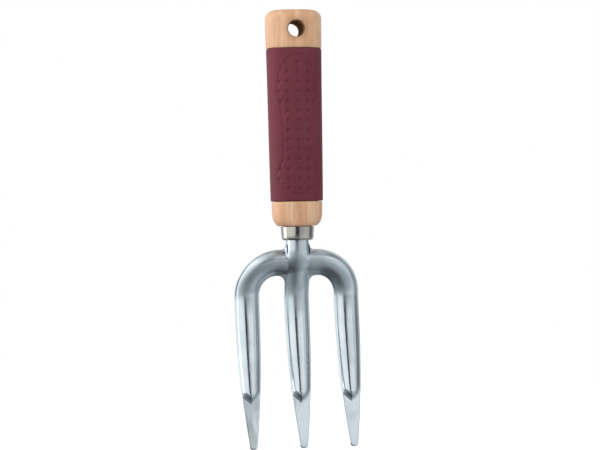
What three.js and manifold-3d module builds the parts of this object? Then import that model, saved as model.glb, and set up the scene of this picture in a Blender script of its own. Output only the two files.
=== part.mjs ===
// Hand fork: a pressed steel head with three tines, a steel tang, a steel collar
// and an oval beech handle in a rubber sleeve.
// Millimetres. The origin is the centre of the hanging hole. +Z runs up the handle,
// -Y is the front and X is across the tines.
import * as THREE from 'three';
import { mergeVertices } from 'three/addons/utils/BufferGeometryUtils.js';
import Module from 'manifold-3d';

const wasm = await Module();
wasm.setup();

// Driving dimensions.
const BUTT_Z = 13.0;              // top of the handle above the hanging hole
const SLEEVE_TOP_Z = -12.4;
const SLEEVE_END_Z = -113.8;
const WOOD_END_Z = -130.0;        // the nose of the wood, where the collar starts
const COLLAR_END_Z = -139.4;
const TIP_Z = -276.5;
const GAP = 0.3;                  // between pieces that touch

const HANDLE_TOP = [18.8, 14.6];  // half width and half depth of the oval handle
const HANDLE_END = [16.6, 13.2];
const OVAL_POWER = 2.3;           // 2 is an ellipse, more is squarer
const BUTT_ROUND = 6;
const NOSE_ROUND = 7;
const NOSE_STRETCH = 1.3;         // the nose's rounding is longer than it is wide
const ROUND_STEPS = 5;
const NOSE_END = [11.6, 11.0];
const SLEEVE_THICK = 2.4;
const SLEEVE_PROUD = 0.5;         // how far the sleeve's lower end stands off the wood
const SLEEVE_LIP = 0.9;           // chamfer of the sleeve's two ends
const TENON_R = 9.7;
const TENON_LENGTH = 7;

const HOLE_R = 5.3;
const COUNTERSINK_R = 6.4;
const COUNTERSINK_DEPTH = 1.2;
const SINK_REACH = 5;             // the cutting cone is this many times as long as the countersink

const COLLAR_R_TOP = 11.1;
const COLLAR_R_END = 10.6;
const COLLAR_WALL = 1.1;
const COLLAR_LIP_R = 8.0;
const COLLAR_EDGE_R = 1.8;

const TANG_R = 4.0;
const TANG_TOP_Z = -62;
const TANG_END_Z = -143.2;
const TANG_TAPER = 26;
const TANG_POINT = 0.45;          // radius just above the taper's end, as a share of the rod's

const TINE_PITCH = 33.6;
const SHEET = 2.2;
const RIDGE = 3.9;                // height of the pressed ridge over the flanges
const RIDGE_FOOT = 0.88;          // where the ridge starts, as a share of half the width
const RIDGE_POWER = 2.6;          // 2 is a parabola across the limb, more is flatter on top
const NECK_HALF = 7.5;
const NECK_TOP_Z = -137.8;
const NECK_ROW_Z = -139.6;
const NECK_BULGE = [6.2, 4.6];    // how far the round neck stands out, front and back
const NECK_BLEND_Z = [-160, -146];
const HUB_TOP_Z = -141.6;         // the arms leave the neck from here
const HUB_LOW_Z = -167.6;         // down to here, where the gaps between the tines start
const SHOULDER_Z = -145.6;        // upper edge of the arms
const GAP_TOP_Z = -163.0;         // lower edge of the arms
const ARCH_Z = -176;              // below this the outer tines run straight
const FILLET_STATIONS = 4;        // stations along an arm, in its fillet and in its arch
const ARCH_STATIONS = 7;
const SHOULDER_X = 12;            // where the outer and inner arches start
const GAP_TOP_X = 14;
const TINE_HALF = 8.3;
const TINE_TIP_HALF = 2.4;
const TAPER_LENGTH = 98;
const TAPER_POWER = 2.3;
const RIDGE_END_Z = [-245, -239.5];
const CRANK_Z = [-146, -179];     // the head steps back from the handle's axis over this
const CRANK = 9.6;
const LEAN_START_Z = -172;        // and then sweeps forward to the tips
const LEAN = 20.6;
const LEAN_SOFT = 0.15;           // share of the sweep that its soft start takes
// Places across a tine, from edge to edge, as shares of half its width.
const ACROSS = [-1, -0.88, -0.66, -0.36, 0, 0.36, 0.66, 0.88, 1];
// Heights of the rows on the straight part of a tine, then of the rounded tip.
const TINE_ROWS = [-176, -188, -200, -212, -224, -233, -239.5, -242.2, -245, -254, -263, -270];
const TIP_ROWS = [[3, 2.45], [1.2, 2.05], [0.4, 1.5], [0, 0.8]];

const wood = new THREE.MeshStandardMaterial({ color: 0xd9ae82, roughness: 0.55, metalness: 0 });
const rubber = new THREE.MeshStandardMaterial({ color: 0x6f303c, roughness: 0.6, metalness: 0 });
const steel = new THREE.MeshStandardMaterial({ color: 0xb4c0c4, roughness: 0.2, metalness: 1 });
const collarSteel = new THREE.MeshStandardMaterial({ color: 0xb9b4aa, roughness: 0.3, metalness: 1 });
const rodSteel = new THREE.MeshStandardMaterial({ color: 0x8a8d8e, roughness: 0.45, metalness: 1 });

function mix(a, b, share) {
  return a + (b - a) * share;
}

function smoothStep(from, to, value) {
  const share = Math.min(1, Math.max(0, (value - from) / (to - from)));
  return share * share * (3 - 2 * share);
}

// Adds two triangles between each pair of neighbouring rows of a grid of vertex numbers.
function stitch(indices, rows) {
  for (let j = 0; j + 1 < rows.length; j++) {
    for (let i = 0; i + 1 < rows[j].length; i++) {
      const [a, b, c, d] = [rows[j][i], rows[j][i + 1], rows[j + 1][i + 1], rows[j + 1][i]];
      indices.push(a, b, c, a, c, d);
    }
  }
}

function geometryOf(points, indices) {
  const geometry = new THREE.BufferGeometry();
  geometry.setAttribute('position', new THREE.Float32BufferAttribute(points, 3));
  geometry.setIndex(indices);
  geometry.computeVertexNormals();
  return geometry;
}

// A closed body of oval rings, one above the other from low to high. With `hollow` the
// rings close on themselves, as in a sleeve. Otherwise flat caps close the two ends.
function ovalLoft(rings, sides, hollow) {
  const points = [];
  const indices = [];
  for (const { z, half, power = OVAL_POWER } of rings) {
    for (let i = 0; i < sides; i++) {
      const turn = (2 * Math.PI * i) / sides;
      const x = Math.cos(turn);
      const y = Math.sin(turn);
      points.push(
        Math.sign(x) * Math.abs(x) ** (2 / power) * half[0],
        Math.sign(y) * Math.abs(y) ** (2 / power) * half[1],
        z,
      );
    }
  }
  const ringRow = (j) => Array.from({ length: sides + 1 }, (_, i) => j * sides + (i % sides));
  const rows = rings.map((_, j) => ringRow(j));
  if (hollow) {
    rows.push(ringRow(0));
  }
  stitch(indices, rows);
  if (!hollow) {
    for (const [row, upward] of [[rows[0], false], [rows[rows.length - 1], true]]) {
      const centre = points.length / 3;
      points.push(0, 0, upward ? rings[rings.length - 1].z : rings[0].z);
      for (let i = 0; i < sides; i++) {
        const pair = upward ? [row[i], row[i + 1]] : [row[i + 1], row[i]];
        indices.push(centre, ...pair);
      }
    }
  }
  return geometryOf(points, indices);
}

function toSolid(geometry) {
  const bare = geometry.clone();
  bare.deleteAttribute('normal');
  bare.deleteAttribute('uv');
  const merged = mergeVertices(bare);
  return new wasm.Manifold(new wasm.Mesh({
    numProp: 3,
    vertProperties: new Float32Array(merged.attributes.position.array),
    triVerts: new Uint32Array(merged.index.array),
  }));
}

function subtract(geometry, ...cutters) {
  let solid = toSolid(geometry);
  for (const cutter of cutters) {
    solid = solid.subtract(toSolid(cutter));
  }
  const mesh = solid.getMesh();
  return geometryOf(mesh.vertProperties, Array.from(mesh.triVerts));
}

// The half width and half depth of the bare handle at a height, before its ends are rounded.
function handleHalf(z) {
  const share = (BUTT_Z - z) / (BUTT_Z - WOOD_END_Z);
  return [mix(HANDLE_TOP[0], HANDLE_END[0], share), mix(HANDLE_TOP[1], HANDLE_END[1], share)];
}

function grownBy(half, more) {
  return [half[0] + more, half[1] + more];
}

// The wood: a rounded nose with a tenon, a core that is turned down under the sleeve, and
// a full-size top with a rounded end, bored for the tang and across for the hanging hole.
function woodenHandle() {
  const rings = [WOOD_END_Z - TENON_LENGTH, WOOD_END_Z].map((z) => (
    { z, half: [TENON_R, TENON_R], power: 2 }
  ));
  const full = handleHalf(WOOD_END_Z + NOSE_ROUND);
  for (let step = 0; step <= ROUND_STEPS; step++) {
    const turn = (Math.PI / 2) * (step / ROUND_STEPS);
    const half = [0, 1].map((k) => mix(NOSE_END[k], full[k], Math.sin(turn)));
    rings.push({ z: WOOD_END_Z + NOSE_ROUND * (1 - Math.cos(turn)) * NOSE_STRETCH, half });
  }
  rings.push({ z: SLEEVE_END_Z, half: handleHalf(SLEEVE_END_Z) });
  const core = (z) => grownBy(handleHalf(z), -SLEEVE_THICK);
  rings.push({ z: SLEEVE_END_Z, half: core(SLEEVE_END_Z) });
  rings.push({ z: SLEEVE_TOP_Z, half: core(SLEEVE_TOP_Z) });
  rings.push({ z: SLEEVE_TOP_Z, half: handleHalf(SLEEVE_TOP_Z) });
  for (let step = 0; step <= ROUND_STEPS; step++) {
    const turn = (Math.PI / 2) * (step / ROUND_STEPS);
    const inset = BUTT_ROUND * (1 - Math.cos(turn));
    const z = BUTT_Z - BUTT_ROUND * (1 - Math.sin(turn));
    rings.push({ z, half: grownBy(handleHalf(z), -inset) });
  }
  const boreDepth = TANG_TOP_Z - WOOD_END_Z + TENON_LENGTH + 2;
  const tangBore = new THREE.CylinderGeometry(TANG_R + GAP, TANG_R + GAP, boreDepth, 24);
  tangBore.rotateX(Math.PI / 2);
  tangBore.translate(0, 0, TANG_TOP_Z + 1 - boreDepth / 2);
  const hole = new THREE.CylinderGeometry(HOLE_R, HOLE_R, HANDLE_TOP[1] * 3, 40);
  const sinks = [-1, 1].map((side) => {
    const outer = HOLE_R + (COUNTERSINK_R - HOLE_R) * SINK_REACH;
    const cone = new THREE.CylinderGeometry(outer, HOLE_R, COUNTERSINK_DEPTH * SINK_REACH, 40);
    if (side < 0) {
      cone.rotateX(Math.PI);
    }
    const middle = HANDLE_TOP[1] - COUNTERSINK_DEPTH + (COUNTERSINK_DEPTH * SINK_REACH) / 2;
    cone.translate(0, side * middle, 0);
    return cone;
  });
  return subtract(ovalLoft(rings, 48, false), tangBore, hole, ...sinks);
}

// The sleeve: outer wall from low to high, then the inner wall back down.
function rubberGrip() {
  const low = SLEEVE_END_Z + GAP;
  const high = SLEEVE_TOP_Z - GAP;
  const outer = (z) => grownBy(handleHalf(z), SLEEVE_PROUD * smoothStep(high, low, z));
  const inner = (z) => grownBy(handleHalf(z), GAP - SLEEVE_THICK);
  const rings = [
    { z: low, half: inner(low) },
    { z: low, half: grownBy(outer(low), -SLEEVE_LIP) },
    { z: low + SLEEVE_LIP, half: outer(low) },
    { z: mix(low, high, 0.5), half: outer(mix(low, high, 0.5)) },
    { z: high - SLEEVE_LIP, half: outer(high) },
    { z: high, half: grownBy(outer(high), -SLEEVE_LIP) },
    { z: high, half: inner(high) },
  ];
  return ovalLoft(rings, 48, true);
}

// The collar: a pressed cup over the tenon, with a hole in its floor for the neck.
function collar() {
  const top = WOOD_END_Z - GAP;
  const points = [
    [COLLAR_LIP_R, COLLAR_END_Z],
    [COLLAR_R_END - COLLAR_EDGE_R, COLLAR_END_Z],
    [COLLAR_R_END - COLLAR_EDGE_R * 0.3, COLLAR_END_Z + COLLAR_EDGE_R * 0.3],
    [COLLAR_R_END, COLLAR_END_Z + COLLAR_EDGE_R],
    [COLLAR_R_TOP, top],
    [COLLAR_R_TOP - COLLAR_WALL, top],
    [COLLAR_R_END - COLLAR_WALL * 0.5, COLLAR_END_Z + COLLAR_WALL],
    [COLLAR_LIP_R, COLLAR_END_Z + COLLAR_WALL],
    [COLLAR_LIP_R, COLLAR_END_Z],
  ];
  const geometry = new THREE.LatheGeometry(points.map(([r, z]) => new THREE.Vector2(r, z)), 48);
  geometry.rotateX(Math.PI / 2);
  return geometry;
}

// The tang: a round rod that tapers to a blunt point inside the wood.
function tang() {
  const profile = [
    [0, TANG_END_Z],
    [TANG_R, TANG_END_Z],
    [TANG_R, TANG_TOP_Z - TANG_TAPER],
    [TANG_R * TANG_POINT, TANG_TOP_Z - 1],
    [0, TANG_TOP_Z],
  ];
  const geometry = new THREE.LatheGeometry(profile.map(([r, z]) => new THREE.Vector2(r, z)), 24);
  geometry.rotateX(Math.PI / 2);
  return geometry;
}

// How far back the middle of the sheet lies at a height.
function spineY(z) {
  const drop = Math.max(0, LEAN_START_Z - z) / (LEAN_START_Z - TIP_Z);
  const swept = (Math.hypot(drop, LEAN_SOFT) - LEAN_SOFT) / (Math.hypot(1, LEAN_SOFT) - LEAN_SOFT);
  return CRANK * smoothStep(CRANK_Z[0], CRANK_Z[1], z) - LEAN * swept;
}

function tineHalf(z) {
  const left = Math.max(0, 1 - (z - TIP_Z) / TAPER_LENGTH);
  return TINE_TIP_HALF + (TINE_HALF - TINE_TIP_HALF) * (1 - left ** TAPER_POWER);
}

// The pressed ridge's height across a limb: 1 at its crest and 0 on the flat flanges.
function ridge(share) {
  return Math.max(0, 1 - (Math.abs(share) / RIDGE_FOOT) ** RIDGE_POWER);
}

// A smooth union of two heights.
function joined(a, b) {
  return Math.cbrt(a ** 3 + b ** 3);
}

// One point of the sheet's front and one of its back, above a place in the head's plan.
// `stem` and `arm` are the place's shares across the middle limb and across the arm.
function sheetPoint(x, z, stem, arm) {
  const raised = RIDGE * smoothStep(RIDGE_END_Z[0], RIDGE_END_Z[1], z);
  const neck = smoothStep(NECK_BLEND_Z[0], NECK_BLEND_Z[1], z) * (Math.abs(stem) <= 1 ? 1 : 0);
  const bulge = Math.sqrt(Math.max(0, 1 - stem * stem));
  const spine = spineY(z);
  const front = joined(mix(raised * ridge(stem), NECK_BULGE[0] * bulge, neck), raised * ridge(arm));
  const hollow = raised * joined(ridge(stem), ridge(arm));
  return {
    front: [x, spine - front, z],
    back: [x, spine + SHEET + mix(-hollow, NECK_BULGE[1] * bulge, neck), z],
  };
}

// The rows of a straight tine about its own middle: [z, half width].
function tineRows() {
  return [
    ...TINE_ROWS.map((z) => [z, tineHalf(z)]),
    ...TIP_ROWS.map(([above, half]) => [TIP_Z + above, half]),
  ];
}

// The arm's outer and inner edges at each station, from the neck round to the outer tine.
function archEdges() {
  const quarter = Math.PI / 2;
  const fillet = Array.from({ length: FILLET_STATIONS }, (_, k) => quarter * (k / (FILLET_STATIONS - 1)));
  const arch = Array.from({ length: ARCH_STATIONS }, (_, k) => quarter * (1 - (k + 1) / (ARCH_STATIONS + 1)));
  const rise = HUB_TOP_Z - SHOULDER_Z;
  const drop = GAP_TOP_Z - HUB_LOW_Z;
  const outerX = TINE_PITCH + TINE_HALF - SHOULDER_X;
  const innerX = TINE_PITCH - TINE_HALF - GAP_TOP_X;
  return [
    ...fillet.map((turn) => [
      [NECK_HALF + rise * (1 - Math.cos(turn)), HUB_TOP_Z - rise * Math.sin(turn)],
      [TINE_HALF + drop * (1 - Math.cos(turn)), HUB_LOW_Z + drop * Math.sin(turn)],
    ]),
    ...arch.map((turn) => [
      [SHOULDER_X + outerX * Math.cos(turn), ARCH_Z + (SHOULDER_Z - ARCH_Z) * Math.sin(turn)],
      [GAP_TOP_X + innerX * Math.cos(turn), ARCH_Z + (GAP_TOP_Z - ARCH_Z) * Math.sin(turn)],
    ]),
  ];
}

// The head is one sheet: a middle limb from the neck to the middle tip, and on each side
// an arm that starts from the hub's edge and arches over to an outer tine.
function forkHead() {
  const fronts = [];
  const backs = [];
  const faces = [];
  const addPoint = (x, z, stem, arm) => {
    const { front, back } = sheetPoint(x, z, stem, arm);
    fronts.push(front);
    backs.push(back);
    return fronts.length - 1;
  };
  const armMiddle = (SHOULDER_Z + GAP_TOP_Z) / 2;
  const armShare = (z) => (armMiddle - z) / (armMiddle - GAP_TOP_Z);
  const hubRows = ACROSS.map((t) => [
    mix(HUB_TOP_Z, HUB_LOW_Z, (t + 1) / 2),
    mix(NECK_HALF, TINE_HALF, (t + 1) / 2),
  ]);
  const stemRows = [[NECK_TOP_Z, NECK_HALF], [NECK_ROW_Z, NECK_HALF], ...hubRows, ...tineRows()];
  const stem = stemRows.map(([z, half]) => (
    ACROSS.map((t) => addPoint(t * half, z, t, armShare(z)))
  ));
  stitch(faces, stem.map((row) => row.toReversed()));
  const edges = archEdges();
  for (const side of [-1, 1]) {
    const border = stem.slice(2, 2 + ACROSS.length);
    const arm = [border.map((row) => (side > 0 ? row[row.length - 1] : row[0]))];
    for (let k = 1; k < edges.length; k++) {
      const [outer, inner] = edges[k];
      arm.push(ACROSS.map((t) => {
        const z = mix(outer[1], inner[1], (t + 1) / 2);
        const x = mix(outer[0], inner[0], (t + 1) / 2);
        return addPoint(side * x, z, 2, k < FILLET_STATIONS ? armShare(z) : t);
      }));
    }
    for (const [z, half] of tineRows()) {
      arm.push(ACROSS.map((t) => addPoint(side * (TINE_PITCH - t * half), z, 2, t)));
    }
    stitch(faces, side > 0 ? arm : arm.map((row) => row.toReversed()));
  }
  return closedSheet(fronts, backs, faces);
}

// Joins a front and a back of the same layout along the front's open edges.
function closedSheet(fronts, backs, faces) {
  const count = fronts.length;
  const indices = [...faces];
  const edgeUses = new Map();
  for (let f = 0; f < faces.length; f += 3) {
    indices.push(faces[f] + count, faces[f + 2] + count, faces[f + 1] + count);
    for (const [from, to] of [[0, 1], [1, 2], [2, 0]]) {
      edgeUses.set(`${faces[f + from]},${faces[f + to]}`, [faces[f + from], faces[f + to]]);
    }
  }
  for (const [from, to] of edgeUses.values()) {
    if (!edgeUses.has(`${to},${from}`)) {
      indices.push(to, from, from + count, to, from + count, to + count);
    }
  }
  return geometryOf([...fronts, ...backs].flat(), indices);
}

// The head with the blind bore that the tang stands in.
function boredHead() {
  const depth = NECK_TOP_Z - TANG_END_Z + GAP;
  const bore = new THREE.CylinderGeometry(TANG_R + GAP, TANG_R + GAP, depth + 2, 24);
  bore.rotateX(Math.PI / 2);
  bore.translate(0, 0, TANG_END_Z - GAP + (depth + 2) / 2);
  return subtract(forkHead(), bore);
}

const group = new THREE.Group();

function add(name, geometry, material) {
  const mesh = new THREE.Mesh(geometry, material);
  mesh.name = name;
  group.add(mesh);
}

add('wooden_handle', woodenHandle(), wood);
add('rubber_grip', rubberGrip(), rubber);
add('steel_collar', collar(), collarSteel);
add('tang', tang(), rodSteel);
add('fork_head', boredHead(), steel);

export default group;
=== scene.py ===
"""The looks of a hand fork: beech handle, dimpled rubber sleeve, steel collar and a pressed, plated head.

The shapes are surfaces worked out as whole arrays. Lengths are written in millimetres and
are turned into metres when a mesh is made. +Z runs up the handle and -Y is the front.
"""

import math

import bmesh
import bpy
import numpy as np
from mathutils import Matrix, Vector


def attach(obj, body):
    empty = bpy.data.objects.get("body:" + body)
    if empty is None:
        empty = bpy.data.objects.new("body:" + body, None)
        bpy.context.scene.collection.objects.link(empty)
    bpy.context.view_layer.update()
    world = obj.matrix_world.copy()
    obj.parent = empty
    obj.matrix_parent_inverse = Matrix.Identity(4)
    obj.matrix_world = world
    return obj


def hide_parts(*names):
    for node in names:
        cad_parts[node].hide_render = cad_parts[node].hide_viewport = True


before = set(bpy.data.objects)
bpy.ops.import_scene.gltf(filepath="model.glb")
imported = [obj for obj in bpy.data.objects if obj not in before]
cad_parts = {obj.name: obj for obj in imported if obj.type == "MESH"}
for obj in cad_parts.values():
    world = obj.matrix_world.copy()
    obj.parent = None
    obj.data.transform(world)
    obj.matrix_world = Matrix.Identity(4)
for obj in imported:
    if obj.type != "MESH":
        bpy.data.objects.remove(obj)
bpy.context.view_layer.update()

MM = 0.001

# ---------------------------------------------------------------- sizes, in millimetres

BUTT_Z = 13.0            # top of the wood above the hanging hole
SLEEVE_TOP_Z = -12.4
SLEEVE_END_Z = -113.8
WOOD_END_Z = -130.0
COLLAR_END_Z = -139.4
TIP_Z = -276.5
JOINT_GAP = 0.3

HANDLE_TOP = (18.8, 14.6)    # half width and half depth
HANDLE_END = (16.6, 13.2)
OVAL_POWER = 2.3
BUTT_ROUND = 6.0
NOSE_ROUND = 7.0
NOSE_STRETCH = 1.3
NOSE_END = (11.6, 11.0)
TENON_R = 9.7
TENON_LENGTH = 7.0
BORE_R = 4.3
BORE_TOP_Z = -61.0

HOLE_R = 5.3
COUNTERSINK_R = 6.4
COUNTERSINK_DEPTH = 1.2

SLEEVE_THICK = 2.4
SLEEVE_PROUD = 0.5
SLEEVE_LIP = 0.9

COLLAR_R_TOP = 11.1
COLLAR_R_END = 10.6
COLLAR_WALL = 1.1
COLLAR_LIP_R = 8.0
COLLAR_EDGE_R = 1.8

TINE_PITCH = 33.6
SHEET = 2.2
RIDGE = 3.9
RIDGE_FOOT = 0.88
RIDGE_POWER = 2.6
FOOT_SOFT = 0.06
NECK_HALF = 7.5
NECK_TOP_Z = -137.8
NECK_BULGE = (6.2, 4.6)
NECK_BLEND_Z = (-160.0, -146.0)
HUB_TOP_Z = -141.6
HUB_LOW_Z = -167.6
SHOULDER_Z = -145.6
GAP_TOP_Z = -163.0
ARCH_Z = -176.0
SHOULDER_X = 12.0
GAP_TOP_X = 14.0
TINE_HALF = 8.3
TINE_TIP_HALF = 2.4
TAPER_LENGTH = 98.0
TAPER_POWER = 2.3
RIDGE_END_Z = -246.5         # lowest point of the ridge, at the middle of a tine
RIDGE_END_SLANT = 5.0        # how much higher it ends at the tine's sides
RIDGE_END_LENGTH = 5.0       # it falls to the flat tip over this
RIDGE_REACH = 1.6            # no ridge past this share of a limb's half width
CRANK_Z = (-146.0, -179.0)
CRANK = 9.6
LEAN_START_Z = -172.0
LEAN = 20.6
LEAN_SOFT = 0.15

# The sleeve's moulded pattern, on its front and again on its back.
DIMPLE_ROWS = 14
DIMPLE_TOP_Z = -22.2
DIMPLE_PITCH = 6.4
DIMPLE_COLUMNS = (-6.75, 0.0, 6.75)
DIMPLE_R = 1.15
DIMPLE_DEPTH = 0.8
SIDE_DIMPLE_ROOM = 11.5      # a row gets side dimples where the panel is at least this wide
SIDE_DIMPLE_INSET = 1.1
PANEL_Z = (-109.4, -17.2)
PANEL_WAIST = 9.5
PANEL_SWELLS = [(3.4, -38.0, 16.0), (5.6, -98.0, 8.5)]    # (how far out, middle height, length)
PANEL_END_POWER = 8
PANEL_GROOVE_HALF = 0.75
PANEL_GROOVE_DEPTH = 0.38
PANEL_RISE = 0.12

EDGE_ROUND = 0.75            # rounding of the sheet's cut edges

# ---------------------------------------------------------------- helpers


def mix(a, b, share):
    return a + (b - a) * share


def smooth_step(start, end, value):
    """0 before start, 1 after end, with flat ends: 3s^2 - 2s^3 of the clamped share s."""
    share = np.clip((value - start) / (end - start), 0.0, 1.0)
    return share * share * (3.0 - 2.0 * share)


def grid_faces(numbers):
    """Quads between neighbouring rows and columns of a grid of vertex numbers."""
    quads = np.stack([numbers[:-1, :-1], numbers[:-1, 1:], numbers[1:, 1:], numbers[1:, :-1]], axis=-1)
    return quads.reshape(-1, 4)


def closed_rows(numbers):
    """The same grid with its first column repeated at the end, so that rows close on themselves."""
    return np.concatenate([numbers, numbers[:, :1]], axis=1)


def make_piece(name, points, faces, node, material, sharp_deg=32.0):
    """Makes one closed piece that stands for a CAD node. Points are in millimetres."""
    mesh = bpy.data.meshes.new(name)
    mesh.from_pydata((points * MM).tolist(), [], [face for block in faces for face in block.tolist()])
    merge_and_turn_out(mesh)
    mesh.shade_smooth()
    mesh.set_sharp_from_angle(angle=math.radians(sharp_deg))
    mesh.materials.append(material)
    piece = bpy.data.objects.new(name, mesh)
    bpy.context.scene.collection.objects.link(piece)
    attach(piece, "root")
    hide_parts(node)
    return piece


def merge_and_turn_out(mesh):
    """Merges doubled points and turns every face outwards."""
    work = bmesh.new()
    work.from_mesh(mesh)
    bmesh.ops.remove_doubles(work, verts=work.verts, dist=2e-6)
    bmesh.ops.recalc_face_normals(work, faces=work.faces)
    work.to_mesh(mesh)
    work.free()


def oval(turns, half, power=OVAL_POWER):
    """Points of an oval: x and y are the cosine and sine to the power 2/power, times the half sizes."""
    cosine, sine = np.cos(turns), np.sin(turns)
    x = np.sign(cosine) * np.abs(cosine) ** (2.0 / power) * half[0]
    y = np.sign(sine) * np.abs(sine) ** (2.0 / power) * half[1]
    return x, y


def handle_half(z):
    """Half width and half depth of the plain handle: both fall evenly from top to end."""
    share = (BUTT_Z - z) / (BUTT_Z - WOOD_END_Z)
    return mix(HANDLE_TOP[0], HANDLE_END[0], share), mix(HANDLE_TOP[1], HANDLE_END[1], share)


def butt_half(z):
    """The plain handle, drawn in by a quarter circle over the last BUTT_ROUND before the top."""
    rise = np.clip((z - BUTT_Z + BUTT_ROUND) / BUTT_ROUND, 0.0, 1.0)
    inset = BUTT_ROUND * (1.0 - np.sqrt(1.0 - rise * rise))
    wide, deep = handle_half(z)
    return wide - inset, deep - inset


# ---------------------------------------------------------------- the wooden handle

WOOD_COLUMNS = 192
WINDOW_X = 9.6               # the patch round the hanging hole reaches this far across
WINDOW_Z = (-9.6, 8.9)
WINDOW_ROWS = 24
PATCH_RINGS = 9
PATCH_EASE = 0.8             # crowds the patch's rings towards the hole
COUNTERSINK_STEPS = 7
NOSE_STEPS = 13
BUTT_STEPS = 10
BUTT_START = 0.42            # sine of the angle where the rounding takes over from the patch's rows
EASED_EDGE = [(0.6, 0.0), (0.15, 0.2), (0.0, 0.55)]    # (distance from the sleeve, inset)
PLAIN_ROW = 3.0              # one plain ring this far below the sleeve


def wood_rows():
    """(height, half width, half depth, power) of each ring from the tenon up, and where the patch starts."""
    rows = [(WOOD_END_Z - TENON_LENGTH, TENON_R, TENON_R, 2.0), (WOOD_END_Z, TENON_R, TENON_R, 2.0)]
    full = handle_half(WOOD_END_Z + NOSE_ROUND)
    for turn in np.linspace(0.0, math.pi / 2, NOSE_STEPS):
        z = WOOD_END_Z + NOSE_ROUND * NOSE_STRETCH * (1.0 - math.cos(turn))
        half = [mix(NOSE_END[k], full[k], math.sin(turn)) for k in (0, 1)]
        rows.append((z, *half, OVAL_POWER))
    below = [(SLEEVE_END_Z - PLAIN_ROW, 0.0)] + [(SLEEVE_END_Z - away, inset) for away, inset in EASED_EDGE]
    core = [(SLEEVE_END_Z, SLEEVE_THICK), (SLEEVE_TOP_Z, SLEEVE_THICK)]
    above = [(SLEEVE_TOP_Z + away, inset) for away, inset in reversed(EASED_EDGE)]
    for z, inset in below + core + above:
        wide, deep = handle_half(z)
        rows.append((z, wide - inset, deep - inset, OVAL_POWER))
    first = len(rows)
    for z in np.linspace(*WINDOW_Z, WINDOW_ROWS + 1):
        rows.append((z, *butt_half(z), OVAL_POWER))
    for turn in np.linspace(math.asin(BUTT_START), math.pi / 2, BUTT_STEPS):
        z = BUTT_Z - BUTT_ROUND * (1.0 - math.sin(turn))
        rows.append((z, *butt_half(z), OVAL_POWER))
    flat = butt_half(BUTT_Z)
    for share in (0.97, 0.7, 0.35):
        rows.append((BUTT_Z, flat[0] * share, flat[1] * share, OVAL_POWER))
    return rows, first


def surface_depth(x, z):
    """Depth of the handle's surface above a point: deep * (1 - |x / wide|^p)^(1/p)."""
    wide, deep = butt_half(z)
    return deep * (1.0 - np.abs(x / wide) ** OVAL_POWER) ** (1.0 / OVAL_POWER)


def hole_patch(loop, side, start):
    """Rings that shrink from a window's border to the hole's rim, then turn in to the hole's wall.

    A ring is an even mix of the border and the circle, laid on the handle's surface. The
    countersink's rings then go inwards by quarter-round steps.
    """
    aim = np.arctan2(loop[:, 2], loop[:, 0])
    circle = np.stack([np.cos(aim), np.sin(aim)], axis=1) * COUNTERSINK_R
    rings = []
    for share in np.linspace(0.0, 1.0, PATCH_RINGS + 1)[1:]:
        flat = mix(loop[:, [0, 2]], circle, share ** PATCH_EASE)
        rings.append(np.stack([flat[:, 0], side * surface_depth(flat[:, 0], flat[:, 1]), flat[:, 1]], axis=1))
    rim = rings[-1]
    for turn in np.linspace(0.0, math.pi / 2, COUNTERSINK_STEPS)[1:]:
        radius = mix(COUNTERSINK_R, HOLE_R, math.sin(turn))
        sunk = COUNTERSINK_DEPTH * (1.0 - math.cos(turn))
        ring = rim * [radius / COUNTERSINK_R, 1.0, radius / COUNTERSINK_R]
        ring[:, 1] -= side * sunk
        rings.append(ring)
    bottom = rings[-1]
    for share in (0.3, 0.65, 1.0):
        ring = bottom.copy()
        ring[:, 1] *= 1.0 - share
        rings.append(ring)
    rings = np.array(rings)
    numbers = start + np.arange(rings.shape[0] * rings.shape[1]).reshape(rings.shape[:2])
    return rings.reshape(-1, 3), numbers


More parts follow.
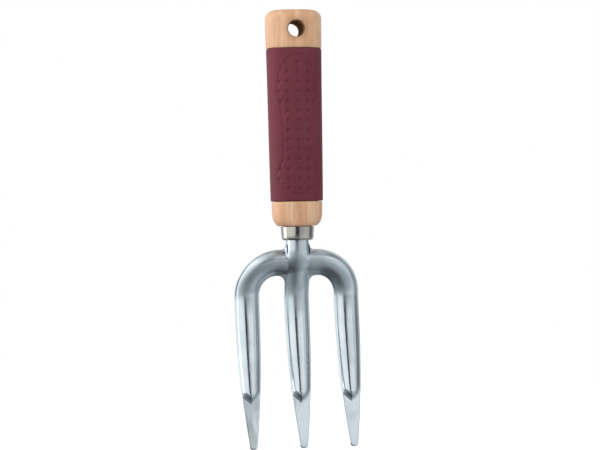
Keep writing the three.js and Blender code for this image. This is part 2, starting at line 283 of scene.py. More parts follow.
def wooden_handle(material):
    """Oval rings from the tenon to the butt, with a window at the front and the back for the hanging hole."""
    turns = np.linspace(0.0, 2 * math.pi, WOOD_COLUMNS, endpoint=False)
    rows, first = wood_rows()
    shell = np.array([
        np.stack([*oval(turns, (wide, deep), power), np.full(WOOD_COLUMNS, z)], axis=1)
        for z, wide, deep, power in rows
    ])
    numbers = np.arange(shell.shape[0] * WOOD_COLUMNS).reshape(shell.shape[:2])
    points = [shell.reshape(-1, 3)]
    quads = grid_faces(closed_rows(numbers)).reshape(shell.shape[0] - 1, WOOD_COLUMNS, 4)
    keep = np.ones(quads.shape[:2], bool)
    last = first + WINDOW_ROWS
    faces = []
    count = shell.shape[0] * WOOD_COLUMNS
    near = np.abs(shell[first, :, 0]) < WINDOW_X
    for side in (-1.0, 1.0):
        columns = np.flatnonzero(near & (np.sign(shell[first, :, 1]) == side))
        low, high = columns[0], columns[-1]
        keep[first:last, low:high] = False
        border = np.concatenate([
            numbers[first, low:high], numbers[first:last, high],
            numbers[last, high:low:-1], numbers[last:first:-1, low],
        ])
        loop = points[0][border]
        if side > 0:
            # The back runs the other way round, so it is turned to match the front.
            border = np.roll(border[::-1], 1)
            shift = np.argmin(np.hypot(*(points[0][border][:, [0, 2]] - front_start).T))
            border = np.roll(border, -shift)
            loop = points[0][border]
        else:
            front_start = loop[0, [0, 2]]
        patch, patch_numbers = hole_patch(loop, side, count)
        points.append(patch)
        count += len(patch)
        faces.append(grid_faces(closed_rows(np.vstack([border[None, :], patch_numbers]))))
    faces.insert(0, quads[keep])
    poles = np.array([[0.0, 0.0, BUTT_Z], [0.0, 0.0, BORE_TOP_Z]])
    x, y = oval(turns, (BORE_R, BORE_R), 2.0)
    bore = np.concatenate([
        np.stack([x, y, np.full(WOOD_COLUMNS, WOOD_END_Z - TENON_LENGTH)], axis=1),
        np.stack([x, y, np.full(WOOD_COLUMNS, BORE_TOP_Z)], axis=1),
    ])
    bore_numbers = count + np.arange(2 * WOOD_COLUMNS).reshape(2, WOOD_COLUMNS)
    points += [bore, poles]
    faces.append(grid_faces(closed_rows(np.vstack([numbers[:1], bore_numbers]))))
    pole = count + 2 * WOOD_COLUMNS
    for row, centre in ((numbers[-1], pole), (bore_numbers[-1], pole + 1)):
        ring = np.append(row, row[0])
        faces.append(np.stack([ring[:-1], ring[1:], np.full(WOOD_COLUMNS, centre)], axis=1))
    return make_piece("beech_handle", np.concatenate(points), faces, "wooden_handle", material)


# ---------------------------------------------------------------- the rubber sleeve

SLEEVE_FINE = 92             # columns across the front, and across the back
SLEEVE_SIDE = 22             # columns round each side
SLEEVE_REACH = 0.86          # share of the width that the fine columns cover
SLEEVE_STEP = 0.34
SLEEVE_SIDE_CLEAR = 1.0      # the pattern keeps this far from the line between front and back
BORDER_STEPS = 500
LIP_STEPS = 6


def sleeve_turns():
    """Angles round the sleeve, evenly spaced in x over the front and the back and in angle at the sides."""
    x = np.linspace(SLEEVE_REACH, -SLEEVE_REACH, SLEEVE_FINE)
    back = np.arccos(np.sign(x) * np.abs(x) ** (OVAL_POWER / 2))
    corner = back[0]
    side = np.linspace(-corner, corner, SLEEVE_SIDE + 2)[1:-1]
    return np.concatenate([side, back, side + math.pi, back + math.pi])


def panel_half(z):
    """Half width of the moulded panel: a waist and two bell-shaped swellings, closed by an arch at each end.

    A swelling adds out * exp(-((z - middle) / length)^2). The arch is sqrt(1 - s^PANEL_END_POWER).
    """
    swell = PANEL_WAIST
    for out, middle, length in PANEL_SWELLS:
        swell = swell + out * np.exp(-(((z - middle) / length) ** 2))
    share = (z - sum(PANEL_Z) / 2) / ((PANEL_Z[1] - PANEL_Z[0]) / 2)
    return swell * np.sqrt(np.clip(1.0 - share ** PANEL_END_POWER, 0.0, 1.0))


def dimple_centres():
    """(x, z) of every dimple: three columns, and one more at each side where the panel is wide."""
    centres = []
    for z in DIMPLE_TOP_Z - DIMPLE_PITCH * np.arange(DIMPLE_ROWS):
        centres += [(x, z) for x in DIMPLE_COLUMNS]
        half = float(panel_half(z))
        if half > SIDE_DIMPLE_ROOM:
            reach = half - SIDE_DIMPLE_INSET
            centres += [(-reach, z), (reach, z)]
    return centres


def moulded_relief(x, z):
    """How far the sleeve's face sinks: a groove on the panel's outline, and a pit at each dimple.

    The groove is exp(-d^2 / w^2) of the distance d to the outline. A pit is exp(-(d / r)^4).
    """
    border_z = np.linspace(*PANEL_Z, BORDER_STEPS)
    border = np.concatenate([
        np.stack([side * panel_half(border_z), border_z], axis=1) for side in (-1.0, 1.0)
    ])
    away = np.full(x.shape, np.inf)
    for px, pz in border:
        away = np.minimum(away, (x - px) ** 2 + (z - pz) ** 2)
    sunk = PANEL_GROOVE_DEPTH * np.exp(-away / PANEL_GROOVE_HALF ** 2)
    inside = np.abs(x) < panel_half(z)
    sunk -= PANEL_RISE * inside * (1.0 - np.exp(-away / PANEL_GROOVE_HALF ** 2))
    for px, pz in dimple_centres():
        reach = ((x - px) ** 2 + (z - pz) ** 2) / DIMPLE_R ** 2
        sunk += DIMPLE_DEPTH * np.exp(-reach ** 2)
    return sunk


def rubber_sleeve(material):
    """An oval tube whose outer wall follows the handle, standing a little prouder towards its lower end."""
    turns = sleeve_turns()
    columns = len(turns)
    low, high = SLEEVE_END_Z + JOINT_GAP, SLEEVE_TOP_Z - JOINT_GAP
    steps = int((high - low - 2 * SLEEVE_LIP) / SLEEVE_STEP)
    z = np.linspace(low + SLEEVE_LIP, high - SLEEVE_LIP, steps)[:, None]
    wide, deep = handle_half(z)
    proud = SLEEVE_PROUD * smooth_step(high, low, z)
    x, y = oval(turns[None, :], (wide + proud, deep + proud))
    z = np.broadcast_to(z, x.shape)
    sunk = moulded_relief(x, z) * (np.abs(y) > SLEEVE_SIDE_CLEAR)
    unit = np.stack([x / wide ** 2, y / deep ** 2], axis=-1)
    unit /= np.linalg.norm(unit, axis=-1, keepdims=True)
    wall = np.stack([x - unit[..., 0] * sunk, y - unit[..., 1] * sunk, z], axis=-1)
    rings = []
    for turn in np.linspace(math.pi / 2, 0.0, LIP_STEPS, endpoint=False):
        rings.append(lip_ring(turns, low, turn, 1.0))
    rings += list(wall)
    for turn in np.linspace(math.pi / 2, 0.0, LIP_STEPS, endpoint=False)[::-1]:
        rings.append(lip_ring(turns, high, turn, -1.0))
    for end in (high, low):
        half = handle_half(end)
        inner = oval(turns, (half[0] - SLEEVE_THICK + JOINT_GAP, half[1] - SLEEVE_THICK + JOINT_GAP))
        rings.append(np.stack([*inner, np.full(columns, end)], axis=1))
    rings.append(rings[0])
    rings = np.array(rings)
    numbers = np.arange(rings.shape[0] * columns).reshape(rings.shape[:2])
    faces = [grid_faces(closed_rows(numbers))]
    return make_piece(
        "dimpled_sleeve", rings.reshape(-1, 3), faces, "rubber_grip", material, 60.0
    )


def lip_ring(turns, end, turn, inward):
    """One ring of a quarter-round lip: in by r(1 - cos) and up or down by r(1 - sin)."""
    wide, deep = handle_half(end)
    proud = SLEEVE_PROUD if inward > 0 else 0.0
    inset = SLEEVE_LIP * (1.0 - math.cos(turn))
    x, y = oval(turns, (wide + proud - inset, deep + proud - inset))
    z = end + inward * SLEEVE_LIP * (1.0 - math.sin(turn))
    return np.stack([x, y, np.full(len(turns), z)], axis=1)


# ---------------------------------------------------------------- the collar

COLLAR_COLUMNS = 160
COLLAR_ROLL = 0.33           # rounding of the collar's upper rim
COLLAR_HOLE_EASE = 0.25      # chamfer of the floor's hole
COLLAR_EDGE_STEPS = 10
COLLAR_ROLL_STEPS = 6


def arc(centre, radius, start_deg, end_deg, steps):
    """Points of an arc in the radius-height plane."""
    turns = np.radians(np.linspace(start_deg, end_deg, steps))
    return np.stack([centre[0] + radius * np.cos(turns), centre[1] + radius * np.sin(turns)], axis=1)


def collar_cup(material):
    """A closed profile turned about the axis: floor, rounded edge, tapered wall, rolled top and inside."""
    top = WOOD_END_Z - JOINT_GAP
    inner_r = COLLAR_R_END - COLLAR_WALL / 2
    profile = np.concatenate([
        [[COLLAR_LIP_R + COLLAR_HOLE_EASE, COLLAR_END_Z]],
        arc(
            (COLLAR_R_END - COLLAR_EDGE_R, COLLAR_END_Z + COLLAR_EDGE_R), COLLAR_EDGE_R, -90, 0,
            COLLAR_EDGE_STEPS,
        ),
        arc((COLLAR_R_TOP - COLLAR_ROLL, top - COLLAR_ROLL), COLLAR_ROLL, 0, 90, COLLAR_ROLL_STEPS),
        [[COLLAR_R_TOP - COLLAR_WALL, top]],
        [[inner_r, COLLAR_END_Z + COLLAR_WALL]],
        [[COLLAR_LIP_R, COLLAR_END_Z + COLLAR_WALL]],
        [[COLLAR_LIP_R, COLLAR_END_Z + COLLAR_HOLE_EASE]],
    ])
    turns = np.linspace(0.0, 2 * math.pi, COLLAR_COLUMNS, endpoint=False)
    profile = np.vstack([profile, profile[:1]])
    radius, height = profile[:, :1], profile[:, 1:]
    height = np.broadcast_to(height, (len(profile), COLLAR_COLUMNS))
    rings = np.stack([radius * np.cos(turns), radius * np.sin(turns), height], axis=-1)
    numbers = np.arange(rings.shape[0] * COLLAR_COLUMNS).reshape(rings.shape[:2])
    faces = [grid_faces(closed_rows(numbers))]
    return make_piece(
        "pressed_collar", rings.reshape(-1, 3), faces, "steel_collar", material, 40.0
    )


# ---------------------------------------------------------------- the fork head

ROW_STEP = 0.8
ROW_MARGIN = 0.1             # lets a run of rows reach its last height
BLUNT_LENGTH = 3.4           # the tip is rounded over this
BLUNT_HALF = 0.55            # and ends this wide on each side
BLUNT_POWER = 0.8
BLUNT_STEPS = 9
FILLET_STEPS = 9
ARCH_STEPS = 44
OFF_LIMB = 9.0               # a share that says a point isn't on the middle limb


def spine_y(z):
    """The sheet's middle: a smooth step back of CRANK, then a forward sweep of LEAN.

    The sweep is sqrt(drop^2 + e^2) - e, scaled to 1 at the tips: straight, with a soft start of e.
    """
    drop = np.maximum(0.0, LEAN_START_Z - z) / (LEAN_START_Z - TIP_Z)
    swept = (np.hypot(drop, LEAN_SOFT) - LEAN_SOFT) / (math.hypot(1.0, LEAN_SOFT) - LEAN_SOFT)
    return CRANK * smooth_step(*CRANK_Z, z) - LEAN * swept


def tine_half(z):
    """Half width of a tine: its tip's half width, growing to TINE_HALF as 1 - (1 - s)^TAPER_POWER."""
    left = np.maximum(0.0, 1.0 - (z - TIP_Z) / TAPER_LENGTH)
    return TINE_TIP_HALF + (TINE_HALF - TINE_TIP_HALF) * (1.0 - left ** TAPER_POWER)


def across_places():
    """Places across a limb from -1 to 1, close together at the edges and over the ridge's foot and crest."""
    half = np.array([
        0.0, 0.05, 0.11, 0.18, 0.26, 0.34, 0.42, 0.50, 0.57, 0.64, 0.70, 0.75, 0.795, 0.83, 0.86,
        0.885, 0.905, 0.925, 0.943, 0.96, 0.973, 0.984, 0.993, 1.0,
    ])
    return np.concatenate([-half[:0:-1], half])


def ridge(share):
    """The pressed ridge across a limb: 1 - |s / foot|^RIDGE_POWER, flat-topped and steep at its foot.

    A soft ramp e log(1 + exp(u / e)) of that rounds the foot into the flange.
    """
    bare = 1.0 - (np.abs(share) / RIDGE_FOOT) ** RIDGE_POWER
    return FOOT_SOFT * np.logaddexp(0.0, bare / FOOT_SOFT) * np.where(np.abs(share) > RIDGE_REACH, 0.0, 1.0)


def joined(first, second):
    """A smooth union of two heights: the cube root of the sum of their cubes."""
    return np.cbrt(first ** 3 + second ** 3)


def tine_rows():
    """(height, half width) down a straight tine, then round its blunt tip."""
    tip_start = TIP_Z + BLUNT_LENGTH
    straight = np.arange(ARCH_Z, tip_start, -ROW_STEP)
    rows = [(z, float(tine_half(z))) for z in straight]
    wide = float(tine_half(tip_start))
    for turn in np.linspace(0.0, math.pi / 2, BLUNT_STEPS):
        half = BLUNT_HALF + (wide - BLUNT_HALF) * math.cos(turn) ** BLUNT_POWER
        rows.append((tip_start - BLUNT_LENGTH * math.sin(turn), half))
    return rows


def arch_edges():
    """The arm's (outer, inner) edge points: fillets off the neck and middle tine, then quarter ellipses."""
    rise, drop = HUB_TOP_Z - SHOULDER_Z, GAP_TOP_Z - HUB_LOW_Z
    outer_x = TINE_PITCH + TINE_HALF - SHOULDER_X
    inner_x = TINE_PITCH - TINE_HALF - GAP_TOP_X
    edges = []
    for turn in np.linspace(0.0, math.pi / 2, FILLET_STEPS):
        bend, sink = 1.0 - math.cos(turn), math.sin(turn)
        edges.append((
            (NECK_HALF + rise * bend, HUB_TOP_Z - rise * sink),
            (TINE_HALF + drop * bend, HUB_LOW_Z + drop * sink),
        ))
    fillet = len(edges)
    for turn in np.linspace(math.pi / 2, 0.0, ARCH_STEPS)[1:-1]:
        edges.append((
            (SHOULDER_X + outer_x * math.cos(turn), ARCH_Z + (SHOULDER_Z - ARCH_Z) * math.sin(turn)),
            (GAP_TOP_X + inner_x * math.cos(turn), ARCH_Z + (GAP_TOP_Z - ARCH_Z) * math.sin(turn)),
        ))
    return edges, fillet


def head_plan():
    """The head seen from the front: places (x, z), shares across the middle limb and the arms, and quads.

    One grid runs down the middle limb from the neck to its tip. Its border beside the hub
    is the first column of each arm's grid, which arches over and runs down an outer tine.
    """
    across = across_places()
    places = []
    blocks = []

    def add_rows(rows):
        start = sum(len(block) for block in places)
        rows = np.array(rows)
        places.append(rows.reshape(-1, 4))
        return start + np.arange(rows.shape[0] * rows.shape[1]).reshape(rows.shape[:2])

    arm_middle = (SHOULDER_Z + GAP_TOP_Z) / 2
    arm_half = arm_middle - GAP_TOP_Z
    neck = [(z, NECK_HALF) for z in np.arange(NECK_TOP_Z, HUB_TOP_Z + ROW_MARGIN, -ROW_STEP / 2)]
    shares = (across + 1) / 2
    hub = [(mix(HUB_TOP_Z, HUB_LOW_Z, share), mix(NECK_HALF, TINE_HALF, share)) for share in shares]
    below = [(z, TINE_HALF) for z in np.arange(HUB_LOW_Z - ROW_STEP, ARCH_Z + ROW_MARGIN, -ROW_STEP)]
    rows = neck + hub + below + tine_rows()
    stem = add_rows([
        [(t * half, z, t, (arm_middle - z) / arm_half) for t in across] for z, half in rows
    ])
    blocks.append(grid_faces(stem))
    edges, fillet = arch_edges()
    for side in (-1, 1):
        arm = []
        for k, (outer, inner) in enumerate(edges[1:], start=1):
            x, z = (mix(outer[axis], inner[axis], shares) for axis in (0, 1))
            share = (arm_middle - z) / arm_half if k < fillet else across
            arm.append(np.stack([side * x, z, x / TINE_HALF, share], axis=1))
        for z, half in tine_rows():
            x = TINE_PITCH - across * half
            arm.append(np.stack([side * x, np.full(len(x), z), np.full(len(x), OFF_LIMB), across], axis=1))
        numbers = add_rows(arm)
        border = stem[len(neck):len(neck) + len(across), -1 if side > 0 else 0]
        blocks.append(grid_faces(np.vstack([border[None, :], numbers])))
    return np.concatenate(places), np.concatenate(blocks)


def open_edges(quads):
    """The edges that only one quad uses, each in its quad's direction."""
    edges = np.concatenate([quads[:, [0, 1]], quads[:, [1, 2]], quads[:, [2, 3]], quads[:, [3, 0]]])
    _, index, uses = np.unique(np.sort(edges, axis=1), axis=0, return_index=True, return_counts=True)
    return edges[index[uses == 1]]


BATCH = 500                  # points measured at a time, to keep the arrays small


def distance_to_edges(points, starts, ends):
    """Each point's distance to the nearest of many short straight pieces, a batch of points at a time."""
    along = ends - starts
    length = np.maximum((along ** 2).sum(axis=1), 1e-9)
    nearest = []
    for batch in np.array_split(points, max(1, len(points) // BATCH)):
        offset = batch[:, None, :] - starts[None, :, :]
        share = np.clip((offset * along).sum(axis=2) / length, 0.0, 1.0)
        gap = offset - share[..., None] * along
        nearest.append(np.sqrt((gap ** 2).sum(axis=2).min(axis=1)))
    return np.concatenate(nearest)


def pressed_head(material):
    """The sheet's front and back above one plan, joined along the plan's open edges.

    Both sides follow the spine and rise by the ridges, which join smoothly where two limbs
    cross. The neck is a half round instead, NECK_BULGE * sqrt(1 - s^2). Near a cut edge each
    side turns in by a quarter round of the true distance to the outline.
    """
    plan, quads = head_plan()
    x, z, stem, arm = plan.T
    edges = open_edges(quads)
    away = distance_to_edges(plan[:, :2], plan[edges[:, 0], :2], plan[edges[:, 1], :2])
    across = np.where(np.abs(stem) <= 1.0, np.abs(stem), np.minimum(np.abs(arm), 1.0))
    end = RIDGE_END_Z + RIDGE_END_SLANT * across
    raised = RIDGE * smooth_step(end, end + RIDGE_END_LENGTH, z)
    neck = smooth_step(*NECK_BLEND_Z, z) * (np.abs(stem) <= 1.0)
    bulge = np.sqrt(np.clip(1.0 - stem ** 2, 0.0, 1.0))
    turned = np.clip(1.0 - away / EDGE_ROUND, 0.0, 1.0)
    inset = EDGE_ROUND * (1.0 - np.sqrt(1.0 - turned ** 2))
    spine = spine_y(z)
    proud = joined(mix(raised * ridge(stem), NECK_BULGE[0] * bulge, neck), raised * ridge(arm))
    hollow = raised * joined(ridge(stem), ridge(arm))
    front = spine - proud + inset
    back = spine + SHEET + mix(-hollow, NECK_BULGE[1] * bulge, neck) - inset
    points = np.concatenate([np.stack([x, front, z], axis=1), np.stack([x, back, z], axis=1)])
    count = len(plan)
    sides = np.stack([edges[:, 1], edges[:, 0], edges[:, 0] + count, edges[:, 1] + count], axis=1)
    faces = [quads, quads[:, ::-1] + count, sides]
    return make_piece("pressed_fork_head", points, faces, "fork_head", material, 50.0)


# ---------------------------------------------------------------- materials


class Tree:
    """A thin wrapper that adds nodes to a material or a node group and links them."""

    def __init__(self, tree):
        self.nodes, self.links = tree.nodes, tree.links

    def add(self, kind, inputs=None, **settings):
        node = self.nodes.new(kind)
        for name, value in settings.items():
            setattr(node, name, value)
        for key, value in (inputs or {}).items():
            if isinstance(value, bpy.types.NodeSocket):
                self.links.new(value, node.inputs[key])
            else:
                node.inputs[key].default_value = value
        return node

    def maths(self, operation, *values):
        node = self.add("ShaderNodeMath", dict(enumerate(values)), operation=operation)
        return node.outputs[0]

    def length(self, vector):
        return self.add("ShaderNodeVectorMath", {0: vector}, operation="LENGTH").outputs["Value"]

    def spread(self, value, low, high, out_low=0.0, out_high=1.0):
        """The value's range low to high mapped smoothly onto out_low to out_high."""
        node = self.add("ShaderNodeMapRange", {
            "Value": value, "From Min": low, "From Max": high, "To Min": out_low, "To Max": out_high,
        }, interpolation_type="SMOOTHSTEP")
        return node.outputs["Result"]

    def blend(self, share, first, second):
        node = self.add("ShaderNodeMix", data_type="RGBA")
        for key, value in ((0, share), (6, first), (7, second)):
            if isinstance(value, bpy.types.NodeSocket):
                self.links.new(value, node.inputs[key])
            else:
                node.inputs[key].default_value = value
        return node.outputs[2]

    def stretched(self, vector, scale):
        return self.add("ShaderNodeMapping", {"Vector": vector, "Scale": scale}).outputs["Vector"]

    def noise(self, vector, scale, detail=4.0, roughness=0.55, distortion=0.0):
        node = self.add("ShaderNodeTexNoise", {
            "Vector": vector, "Scale": scale, "Detail": detail, "Roughness": roughness,
            "Distortion": distortion,
        })
        return node.outputs["Fac"]


def new_group(name, inputs, outputs):
    """An empty node group with float and vector inputs and outputs, and its tree."""
    group = bpy.data.node_groups.new(name, "ShaderNodeTree")
    for socket, kind, value in inputs:
        made = group.interface.new_socket(socket, in_out="INPUT", socket_type=f"NodeSocket{kind}")
        if value is not None:
            made.default_value = value
    for socket in outputs:
        group.interface.new_socket(socket, in_out="OUTPUT", socket_type="NodeSocketFloat")
    tree = Tree(group)
    return group, tree, tree.add("NodeGroupInput").outputs, tree.add("NodeGroupOutput")


def handling_group():
    """Broad soft smudges and fine specks, as hands and storage leave them on any finish."""
    group, tree, given, out = new_group(
        "handling_marks",
        [("Vector", "Vector", None), ("Smudge Scale", "Float", 30.0), ("Speck Scale", "Float", 900.0)],
        ["Smudges", "Specks"],
    )
    smudges = tree.noise(given["Vector"], given["Smudge Scale"], 3.0, 0.5, 0.6)
    specks = tree.noise(given["Vector"], given["Speck Scale"], 2.0, 0.6)
    tree.links.new(tree.spread(smudges, 0.38, 0.66), out.inputs["Smudges"])
    tree.links.new(tree.spread(specks, 0.60, 0.74), out.inputs["Specks"])
    return group


def polish_group():
    """Fine lines along one axis, with a few deeper ones, as polishing and soil leave them on metal."""
    group, tree, given, out = new_group(
        "polish_lines", [("Vector", "Vector", None), ("Line Scale", "Float", 60.0)], ["Lines", "Scratches"],
    )
    lines = tree.noise(given["Vector"], given["Line Scale"], 5.0, 0.7)
    deep = tree.noise(given["Vector"], tree.maths("MULTIPLY", given["Line Scale"], 0.45), 2.0, 0.5, 0.3)
    tree.links.new(lines, out.inputs["Lines"])
    tree.links.new(tree.spread(deep, 0.69, 0.74), out.inputs["Scratches"])
    return group


def start_material(name):
    material = bpy.data.materials.new(name)
    material.use_nodes = True
    tree = Tree(material.node_tree)
    shader = material.node_tree.nodes["Principled BSDF"]
    coordinates = tree.add("ShaderNodeTexCoord").outputs["Object"]
    return material, tree, shader, coordinates


def use_group(tree, group, inputs):
    return tree.add("ShaderNodeGroup", inputs, node_tree=group).outputs


def set_bump(tree, shader, height, strength, distance):
    bump = tree.add("ShaderNodeBump", {"Height": height, "Strength": strength, "Distance": distance})
    tree.links.new(bump.outputs["Normal"], shader.inputs["Normal"])


def linear(red, green, blue):
    """A display colour, 0 to 255, as the linear colour that a shader takes."""
    channels = [value / 255.0 for value in (red, green, blue)]
    return (*(c / 12.92 if c <= 0.04045 else ((c + 0.055) / 1.055) ** 2.4 for c in channels), 1.0)


def beech(handling):
    """Pale beech: long soft bands, short dark flecks along the grain, fine pores and a thin satin lacquer,
    with painted shade in and round the hanging hole.
    """
    material, tree, shader, place = start_material("beech")
    along = tree.stretched(place, (1.0, 1.0, 0.055))
    bands = tree.noise(along, 150.0, 5.0, 0.6, 0.8)
    growth = tree.noise(tree.stretched(place, (1.0, 1.0, 0.10)), 42.0, 3.0, 0.5, 1.2)
    flecks = tree.noise(tree.stretched(place, (1.0, 1.0, 0.16)), 900.0, 2.0, 0.5)
    pores = tree.noise(tree.stretched(place, (1.0, 1.0, 0.05)), 2600.0, 2.0, 0.6)
    marks = use_group(tree, handling, {"Vector": place, "Smudge Scale": 38.0, "Speck Scale": 1500.0})
    ground = tree.blend(tree.spread(bands, 0.34, 0.68), linear(227, 173, 131), linear(247, 202, 165))
    ground = tree.blend(tree.spread(growth, 0.40, 0.72, 0.0, 0.55), ground, linear(205, 152, 108))
    ground = tree.blend(tree.spread(flecks, 0.60, 0.74, 0.0, 0.46), ground, linear(168, 112, 72))
    ground = tree.blend(tree.spread(pores, 0.56, 0.74, 0.0, 0.25), ground, linear(150, 98, 62))
    ground = tree.blend(tree.maths("MULTIPLY", marks["Smudges"], 0.10), ground, linear(188, 138, 98))
    off_axis = tree.length(tree.stretched(place, (1.0, 0.0, 1.0)))
    # Painted shade inside the hanging hole: this mask darkens the bore wall's colour, and the same mask takes
    # the lacquer off the bare drilled wall.
    bare_and_shaded_bore = tree.spread(off_axis, (HOLE_R + 0.1) * MM, (COUNTERSINK_R + 0.1) * MM, 1.0, 0.0)
    # Painted shade: a darker ring round the countersink, strongest at the hole's edge and fading outwards.
    rim = tree.spread(off_axis, COUNTERSINK_R * MM, COUNTERSINK_R * 1.5 * MM, 0.22, 0.0)
    ground = tree.blend(rim, ground, linear(150, 104, 70))
    ground = tree.blend(tree.maths("MULTIPLY", bare_and_shaded_bore, 0.75), ground, linear(128, 94, 70))
    tree.links.new(ground, shader.inputs["Base Color"])
    tree.links.new(tree.spread(bands, 0.3, 0.7, 0.44, 0.56), shader.inputs["Roughness"])
    lacquer = tree.maths("SUBTRACT", 1.0, bare_and_shaded_bore)
    tree.links.new(tree.maths("MULTIPLY", lacquer, 0.12), shader.inputs["Coat Weight"])
    tree.links.new(tree.maths("MULTIPLY", lacquer, 0.5), shader.inputs["Specular IOR Level"])
    shader.inputs["Coat Roughness"].default_value = 0.3
    height = tree.maths("ADD", tree.maths("MULTIPLY", pores, 0.6), tree.maths("MULTIPLY", flecks, 0.4))
    set_bump(tree, shader, height, 0.16, 0.0004)
    return material


def grip_rubber(handling):
    """Dark wine rubber with a fine eroded mould grain and a soft sheen."""
    material, tree, shader, place = start_material("grip_rubber")
    marks = use_group(tree, handling, {"Vector": place, "Smudge Scale": 26.0, "Speck Scale": 2600.0})
    grain = tree.noise(place, 4200.0, 3.0, 0.6)
    ground = tree.blend(marks["Smudges"], linear(112, 46, 58), linear(120, 53, 65))
    ground = tree.blend(tree.maths("MULTIPLY", marks["Specks"], 0.25), ground, linear(132, 74, 84))
    tree.links.new(ground, shader.inputs["Base Color"])
    tree.links.new(tree.spread(marks["Smudges"], 0.0, 1.0, 0.62, 0.72), shader.inputs["Roughness"])
    shader.inputs["Specular IOR Level"].default_value = 0.24
    shader.inputs["Sheen Weight"].default_value = 0.03
    shader.inputs["Sheen Roughness"].default_value = 0.5
    set_bump(tree, shader, grain, 0.22, 0.0002)
    return material


DULL_Z = (-196.0, -172.0)    # the plate grows duller over this, up to the hub and arms
HUB_DULL = 0.20              # roughness added there


def plated_steel(handling, polish):
    """Bright bluish plate: soft waves from the die, fine lines, a few scratches, a duller hub and arms."""
    material, tree, shader, place = start_material("plated_steel")
    marks = use_group(tree, handling, {"Vector": place, "Smudge Scale": 45.0, "Speck Scale": 1400.0})
    lines = use_group(tree, polish, {"Vector": tree.stretched(place, (1.0, 1.0, 0.03)), "Line Scale": 1500.0})
    waves = tree.noise(tree.stretched(place, (1.0, 1.0, 0.35)), 85.0, 2.0, 0.4)
    ground = tree.blend(marks["Smudges"], linear(199, 208, 213), linear(189, 199, 204))
    ground = tree.blend(tree.maths("MULTIPLY", lines["Scratches"], 0.18), ground, linear(150, 158, 164))
    tree.links.new(ground, shader.inputs["Base Color"])
    shader.inputs["Metallic"].default_value = 1.0
    smudged = tree.spread(marks["Smudges"], 0.0, 1.0, 0.10, 0.17)
    rough = tree.maths("ADD", smudged, tree.spread(lines["Lines"], 0.4, 0.7, 0.0, 0.04))
    z = tree.add("ShaderNodeSeparateXYZ", {0: place}).outputs["Z"]
    dulled = tree.spread(z, DULL_Z[0] * MM, DULL_Z[1] * MM, 0.0, HUB_DULL)
    below_collar = tree.spread(z, HUB_TOP_Z * MM, NECK_TOP_Z * MM, 1.0, 0.0)
    rough = tree.maths("ADD", rough, tree.maths("MULTIPLY", dulled, below_collar))
    tree.links.new(rough, shader.inputs["Roughness"])
    draws = tree.noise(tree.stretched(place, (1.0, 1.0, 0.02)), 620.0, 2.0, 0.5)
    height = tree.maths("ADD", waves, tree.maths("MULTIPLY", lines["Lines"], 0.03))
    height = tree.maths("ADD", height, tree.maths("MULTIPLY", draws, 0.05))
    set_bump(tree, shader, height, 0.35, 0.0008)
    return material


def collar_steel(handling, polish):
    """Warm grey turned steel: fine rings round the collar and a soft polish."""
    material, tree, shader, place = start_material("collar_steel")
    marks = use_group(tree, handling, {"Vector": place, "Smudge Scale": 90.0, "Speck Scale": 1800.0})
    around = tree.stretched(place, (0.02, 0.02, 1.0))
    lines = use_group(tree, polish, {"Vector": around, "Line Scale": 2600.0})
    ground = tree.blend(lines["Lines"], linear(184, 181, 174), linear(162, 159, 152))
    tree.links.new(ground, shader.inputs["Base Color"])
    shader.inputs["Metallic"].default_value = 1.0
    smudged = tree.spread(marks["Smudges"], 0.0, 1.0, 0.15, 0.20)
    rough = tree.maths("ADD", smudged, tree.spread(lines["Lines"], 0.4, 0.7, 0.0, 0.06))
    tree.links.new(rough, shader.inputs["Roughness"])
    set_bump(tree, shader, lines["Lines"], 0.12, 0.0001)
    return material


def rod_steel(handling, polish):
    """Plain drawn rod: grey, dull and lined along its length."""
    material, tree, shader, place = start_material("tang_steel")
    marks = use_group(tree, handling, {"Vector": place, "Smudge Scale": 120.0, "Speck Scale": 1200.0})
    lines = use_group(tree, polish, {"Vector": tree.stretched(place, (1.0, 1.0, 0.05)), "Line Scale": 1800.0})
    ground = tree.blend(marks["Smudges"], linear(150, 150, 148), linear(118, 114, 110))
    tree.links.new(ground, shader.inputs["Base Color"])
    shader.inputs["Metallic"].default_value = 1.0
    tree.links.new(tree.spread(lines["Lines"], 0.35, 0.7, 0.35, 0.55), shader.inputs["Roughness"])
    set_bump(tree, shader, lines["Lines"], 0.2, 0.0002)
    return material


# ---------------------------------------------------------------- stage, light and camera

# In metres from here on. The floor and the room look white to the camera. Polished metal
# mirrors a darker floor and room, which gives it its contrast.
FLOOR_FRONT_Y = -4.0
FLOOR_BACK_Y = 6.0
FLOOR_HALF = 5.0
FLOOR_Z = TIP_Z * MM - 0.45
FLOOR_POINTS = 9
# Painted light and shade on the floor, seen only in the metal's reflections: dim close under the object,
# lighter far off, and a lighter patch at the right.
SWEEP_REACH = (0.12, 1.40)     # the mirrored floor grows lighter over these distances
SWEEP_GLOW = (0.03, 0.46)
PATCH_ACROSS = (0.03, 0.22)    # and has a lighter patch at the right
PATCH_REACH = (0.5, 1.1)
PATCH_GLOW = 0.55
FLOOR_TINT = (0.88, 0.95, 1.0, 1.0)
ROOM_TURN = (-0.97, -0.55)     # the room's glow changes over this, from straight in front
ROOM_GLOW = (0.06, 0.30)
ROOM_TINT = (0.90, 0.96, 1.0, 1.0)
PURE_WHITE = (1.0, 1.0, 1.0, 1.0)

VIEW_AZIMUTH = -8.7
VIEW_ROLL = 1.2
VIEW_DISTANCE = 1.40
VIEW_CENTRE = (1.8 * MM, 0.0, -129.4 * MM)
LENS = 126.5

LIGHT_MIDDLE_Z = -0.16
WHITE = (1.0, 1.0, 1.0)
COOL = (0.96, 0.99, 1.0)

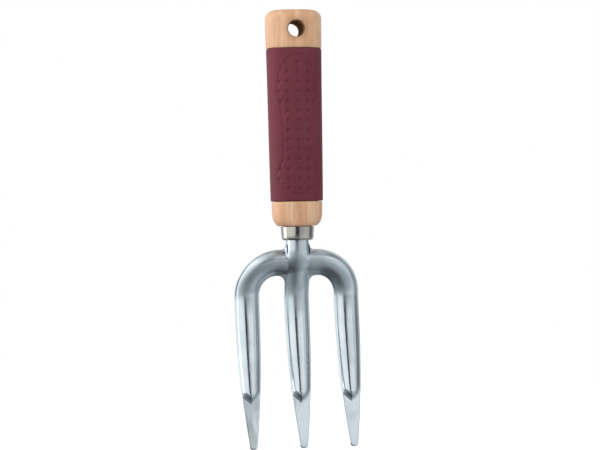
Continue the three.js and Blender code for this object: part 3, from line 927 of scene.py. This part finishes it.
# Each lamp's name, azimuth and elevation in degrees, distance, (width, height), the
# brightness of its face, its colour, and whether polished metal mirrors it. Two large boxes
# leave a dark gap between them in front. The front fill lights the wood and rubber only.
SOFT_BOXES = [
    ("left_soft_box", -56.0, 20.0, 1.25, (1.75, 1.3), 1.06, WHITE, True),
    ("left_side_soft_box", -108.0, 12.0, 1.3, (0.8, 1.4), 2.3, WHITE, True),
    ("right_soft_box", 44.0, 0.0, 1.25, (1.95, 2.0), 0.58, COOL, True),
    ("high_soft_box", 23.0, 29.0, 1.2, (1.0, 0.8), 0.48, WHITE, True),
    ("front_fill", -16.0, 20.0, 1.3, (0.8, 0.8), 0.85, WHITE, False),
    ("high_left_soft_box", -72.0, 46.0, 1.3, (0.9, 0.9), 1.0, WHITE, True),
    ("top_soft_box", 0.0, 84.0, 1.3, (1.3, 1.1), 0.45, WHITE, True),
    ("back_left_soft_box", -150.0, 12.0, 1.4, (1.0, 1.4), 0.5, WHITE, True),
    ("back_right_soft_box", 140.0, 12.0, 1.4, (0.9, 1.4), 0.5, WHITE, True),
]


def seen_directly(tree):
    return tree.add("ShaderNodeLightPath").outputs["Is Camera Ray"]


def studio_floor():
    """A flat pale floor well below the tips, which polished metal mirrors as a soft, darker sweep: painted
    shade close under the object and a painted pool of light at the right.
    """
    x, y = np.meshgrid(
        np.linspace(-FLOOR_HALF, FLOOR_HALF, FLOOR_POINTS),
        np.linspace(FLOOR_FRONT_Y, FLOOR_BACK_Y, FLOOR_POINTS),
    )
    points = np.stack([x, y, np.full(x.shape, FLOOR_Z)], axis=-1)
    faces = grid_faces(np.arange(x.size).reshape(x.shape))
    mesh = bpy.data.meshes.new("studio_floor")
    mesh.from_pydata(points.reshape(-1, 3).tolist(), [], faces.tolist())
    material, tree, shader, place = start_material("studio_paper")
    tone = tree.noise(place, 3.0, 2.0)
    direct = seen_directly(tree)
    pale = tree.blend(tone, linear(226, 228, 230), linear(232, 234, 236))
    # Pale to the camera, painted dark for every other ray, so the metal mirrors a dark floor.
    tree.links.new(tree.blend(direct, linear(34, 37, 40), pale), shader.inputs["Base Color"])
    shader.inputs["Roughness"].default_value = 0.9
    away = tree.length(tree.stretched(place, (1.0, 1.0, 0.0)))
    # Painted shade: the floor's glow is dimmest close under the object and grows lighter far off.
    far = tree.spread(away, *SWEEP_REACH, *SWEEP_GLOW)
    across = tree.add("ShaderNodeSeparateXYZ", {"Vector": place}).outputs["X"]
    fading = tree.spread(away, *PATCH_REACH, PATCH_GLOW, 0.0)
    # Painted pool of light on the floor at the right, fading with distance, which the metal mirrors.
    patch = tree.maths("MULTIPLY", tree.spread(across, *PATCH_ACROSS), fading)
    mirrored = tree.maths("ADD", far, patch)
    tree.links.new(tree.blend(direct, FLOOR_TINT, PURE_WHITE), shader.inputs["Emission Color"])
    tree.links.new(tree.maths("MAXIMUM", mirrored, direct), shader.inputs["Emission Strength"])
    mesh.materials.append(material)
    floor = bpy.data.objects.new("studio_floor", mesh)
    bpy.context.scene.collection.objects.link(floor)


def soft_box(name, azimuth, elevation, distance, size, radiance, colour, mirrored):
    """A rectangular lamp that faces the object. Azimuth 0 is straight in front and grows to the right."""
    turn, rise = math.radians(azimuth), math.radians(elevation)
    away = Vector((math.sin(turn) * math.cos(rise), -math.cos(turn) * math.cos(rise), math.sin(rise)))
    light = bpy.data.lights.new(name, "AREA")
    light.shape = "RECTANGLE"
    light.size, light.size_y = size
    light.energy = radiance * math.pi * size[0] * size[1]
    light.color = colour
    lamp = bpy.data.objects.new(name, light)
    lamp.location = Vector((0.0, 0.0, LIGHT_MIDDLE_Z)) + away * distance
    lamp.rotation_euler = (-away).to_track_quat("-Z", "Y").to_euler()
    lamp.visible_glossy = mirrored
    bpy.context.scene.collection.objects.link(lamp)


def studio_light():
    """Every soft box, and a room that is dimmest straight in front."""
    for lamp in SOFT_BOXES:
        soft_box(*lamp)
    world = bpy.data.worlds.new("room")
    bpy.context.scene.world = world
    world.use_nodes = True
    tree = Tree(world.node_tree)
    background = world.node_tree.nodes["Background"]
    aim = tree.add("ShaderNodeSeparateXYZ", {"Vector": tree.add("ShaderNodeTexCoord").outputs["Generated"]})
    glow = tree.spread(aim.outputs["Y"], *ROOM_TURN, *ROOM_GLOW)
    direct = seen_directly(tree)
    strength = tree.maths("MAXIMUM", glow, direct)
    tree.links.new(tree.blend(direct, ROOM_TINT, PURE_WHITE), background.inputs["Color"])
    tree.links.new(strength, background.inputs["Strength"])


def aim_camera():
    """The camera stands to the front's left at the object's own height, rolled a little."""
    camera = bpy.data.cameras.new("camera")
    camera.lens = LENS
    camera.clip_start = 0.01
    seat = bpy.data.objects.new("camera", camera)
    turn = math.radians(VIEW_AZIMUTH)
    centre = Vector(VIEW_CENTRE)
    back = Vector((math.sin(turn), -math.cos(turn), 0.0))
    facing = back.to_track_quat("Z", "Y").to_matrix().to_4x4()
    roll = Matrix.Rotation(math.radians(-VIEW_ROLL), 4, "Z")
    seat.matrix_world = Matrix.Translation(centre + back * VIEW_DISTANCE) @ facing @ roll
    bpy.context.scene.collection.objects.link(seat)
    bpy.context.scene.camera = seat


# ---------------------------------------------------------------- putting it together

aim_camera()
studio_floor()
studio_light()
bpy.context.scene.view_settings.view_transform = "Standard"

handling = handling_group()
polish = polish_group()
wooden_handle(beech(handling))
rubber_sleeve(grip_rubber(handling))
collar_cup(collar_steel(handling, polish))
pressed_head(plated_steel(handling, polish))
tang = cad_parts["tang"]
tang.data.materials.clear()
tang.data.materials.append(rod_steel(handling, polish))
